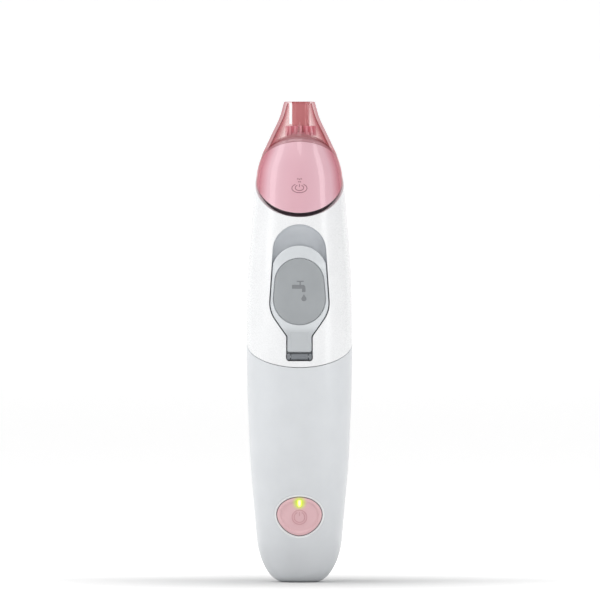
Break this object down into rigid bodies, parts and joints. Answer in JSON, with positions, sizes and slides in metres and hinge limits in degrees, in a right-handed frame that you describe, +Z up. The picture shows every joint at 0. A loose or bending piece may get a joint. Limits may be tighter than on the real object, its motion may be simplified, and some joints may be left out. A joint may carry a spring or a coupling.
{
  "type": "oral jet cleaner handle",
  "caption": "Slim cordless hand-held jet cleaner with a pull-off nozzle, a trigger button, a hinged water door, a lit power button and a spring-driven piston pump.",
  "frame": {"origin": "centre of the flat base, on the axis of the charging socket, where the handle stands", "axes": "+Z up along the handle to the nozzle, -Y to the front with the buttons and the water door, +X to the right when seen from the front"},
  "size_m": [0.0386, 0.0412, 0.1748],
  "materials": {
    "housing_white": "satin moulded",
    "housing_grey": "satin moulded",
    "inner_plastic": "as moulded",
    "nozzle_pink": "polished translucent",
    "button_pink": "gloss moulded",
    "door_grey": "satin moulded",
    "recess_grey": "satin moulded",
    "pad_grey": "fine texture",
    "seal_rubber": "matte",
    "steel": "plated",
    "brass": "machined",
    "acetal": "as moulded",
    "clear_plastic": "clear",
    "board_green": "solder mask",
    "switch_black": "as moulded",
    "battery_wrap": "shrink film",
    "led_green": "diffusing, lit",
    "copper": "enamelled wire",
    "wire_sleeve": "flexible sleeve"
  },
  "bodies": {
    "handle": {"upper_housing": "housing_white", "lower_housing": "housing_grey", "housing_seal": "seal_rubber", "head_frame": "inner_plastic", "outlet_spigot": "inner_plastic", "trigger_pivot_pins": "steel", "trigger_switch": "switch_black", "switch_boot": "seal_rubber", "nozzle_seal": "seal_rubber", "door_recess_liner": "recess_grey", "door_hinge_pin": "steel", "reservoir_tank": "clear_plastic", "dip_tube": "clear_plastic", "mixing_manifold": "inner_plastic", "outlet_valve": "seal_rubber", "delivery_tube": "clear_plastic", "power_cylinder": "clear_plastic", "gear_bushing": "brass", "motor": "steel", "lower_bearing_plate": "inner_plastic", "upper_bearing_plate": "inner_plastic", "frame_screws": "steel", "chassis": "inner_plastic", "battery": "battery_wrap", "battery_tabs": "steel", "control_board": "board_green", "power_switch": "switch_black", "status_led": "clear_plastic", "power_button_gasket": "seal_rubber", "charging_socket": "housing_white", "charging_coil": "copper", "socket_seal": "seal_rubber", "motor_wires": "wire_sleeve", "coil_wires": "copper"},
    "nozzle": {"nozzle_shell": "nozzle_pink", "jet_tube": "nozzle_pink", "nozzle_collar": "nozzle_pink"},
    "trigger": {"trigger_button": "button_pink"},
    "door": {"reservoir_door": "door_grey", "door_pad": "pad_grey", "door_plug": "seal_rubber"},
    "power": {"power_button": "button_pink", "led_lens": "led_green"},
    "motor_rotor": {"motor_shaft": "steel", "motor_pinion": "brass"},
    "cam": {"drive_gear": "acetal"},
    "piston": {"plunger": "acetal", "plunger_o_ring": "seal_rubber", "follower_pin": "steel", "power_spring": "steel"}
  },
  "joints": [
    {"name": "nozzle_pull_off", "type": "slide", "parent": "handle", "child": "nozzle", "axis": [0, 0, 1], "range_m": [0, 0.014]},
    {"name": "trigger_press", "type": "hinge", "parent": "handle", "child": "trigger", "pos_m": [0, 0.0045, 0.1512], "axis": [1, 0, 0], "range_deg": [0, 1.2], "stiffness_Nm_per_rad": 1.5, "springref_deg": -1.15},
    {"name": "door_open", "type": "hinge", "parent": "handle", "child": "door", "pos_m": [0, -0.019, 0.0822], "axis": [1, 0, 0], "range_deg": [0, 90]},
    {"name": "power_press", "type": "slide", "parent": "handle", "child": "power", "axis": [0, 1, 0], "range_m": [0, 0.0006], "stiffness_N_per_m": 1500, "springref_m": -0.0004},
    {"name": "cam_spin", "type": "hinge", "parent": "handle", "child": "cam", "pos_m": [0, 0.0066, 0.0957], "axis": [0, 0, 1], "range_deg": [-5, 315]},
    {"name": "motor_spin", "type": "hinge", "parent": "handle", "child": "motor_rotor", "pos_m": [0, -0.0074, 0.0957], "axis": [0, 0, 1], "range_deg": [-945, 15]},
    {"name": "plunger_draw", "type": "slide", "parent": "handle", "child": "piston", "axis": [0, 0, 1], "range_m": [-0.01, 0], "stiffness_N_per_m": 200, "springref_m": 0.004, "deforming": ["power_spring"]}
  ],
  "couplings": [
    {"joint": "cam_spin", "follows": "plunger_draw", "rad_per_m": -523.59},
    {"joint": "motor_spin", "follows": "plunger_draw", "rad_per_m": 1570.8}
  ]
}
